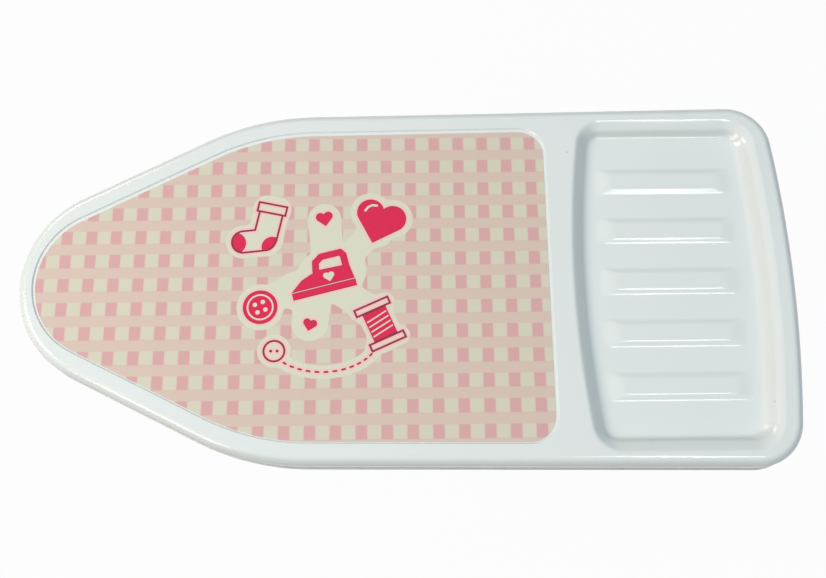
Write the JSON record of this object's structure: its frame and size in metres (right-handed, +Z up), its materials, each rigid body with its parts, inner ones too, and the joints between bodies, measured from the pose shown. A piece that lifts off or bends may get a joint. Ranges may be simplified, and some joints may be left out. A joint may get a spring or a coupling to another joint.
{
  "type": "toy ironing board",
  "caption": "Child's toy ironing board: a tapered white moulded board with a printed checked surface, a sunken ribbed iron rest and crossed folding tube legs.",
  "frame": {"origin": "on the floor, under the middle of the board's length and width, with the legs open", "axes": "+X along the board from its rounded nose to its heel with the iron rest, +Y to the board's back edge, +Z up"},
  "size_m": [0.4744, 0.2288, 0.317],
  "materials": {
    "white_shell": "glossy injection-moulded white",
    "printed_film": "glossy printed film in pink, cream and beige checks",
    "white_nylon": "fine matt moulded white",
    "leg_paint": "white powder coat on steel tube",
    "pink_plastic": "soft satin pink",
    "bare_steel": "zinc-plated, dull"
  },
  "bodies": {
    "board": {"bracket_screw_back_1": "bare_steel", "bracket_screw_back_2": "bare_steel", "bracket_screw_front_1": "bare_steel", "bracket_screw_front_2": "bare_steel", "hinge_bracket_back": "white_nylon", "hinge_bracket_front": "white_nylon", "hinge_pin_back": "bare_steel", "hinge_pin_front": "bare_steel", "leg_clip": "white_nylon", "printed_cover": "printed_film", "rail_screw_back_1": "bare_steel", "rail_screw_back_2": "bare_steel", "rail_screw_front_1": "bare_steel", "rail_screw_front_2": "bare_steel", "slide_rail_back": "white_nylon", "slide_rail_front": "white_nylon", "top_shell": "white_shell"},
    "outer_leg": {"outer_foot_bar": "leg_paint", "outer_foot_cap_back": "pink_plastic", "outer_foot_cap_front": "pink_plastic", "outer_leg_tube_back": "leg_paint", "outer_leg_tube_front": "leg_paint", "outer_tube_plug_back": "pink_plastic", "outer_tube_plug_front": "pink_plastic", "pivot_rivet_back": "bare_steel", "pivot_rivet_front": "bare_steel", "pivot_washer_back": "white_nylon", "pivot_washer_front": "white_nylon"},
    "inner_leg": {"inner_foot_bar": "leg_paint", "inner_foot_cap_back": "pink_plastic", "inner_foot_cap_front": "pink_plastic", "inner_leg_brace": "leg_paint", "inner_leg_tube_back": "leg_paint", "inner_leg_tube_front": "leg_paint", "inner_tube_plug_back": "pink_plastic", "inner_tube_plug_front": "pink_plastic", "slide_bar": "bare_steel", "slide_sleeve_back": "pink_plastic", "slide_sleeve_front": "pink_plastic"}
  },
  "joints": [
    {"name": "leg_fold", "type": "hinge", "parent": "board", "child": "outer_leg", "pos_m": [-0.141, 0, 0.29549], "axis": [0, -1, 0], "range_deg": [0, 56.81]},
    {"name": "leg_cross", "type": "hinge", "parent": "outer_leg", "child": "inner_leg", "pos_m": [-0.05068, 0, 0.15741], "axis": [0, 1, 0], "range_deg": [0, 113.62]}
  ],
  "couplings": [
    {"joint": "leg_cross", "follows": "leg_fold", "ratio": 2}
  ]
}
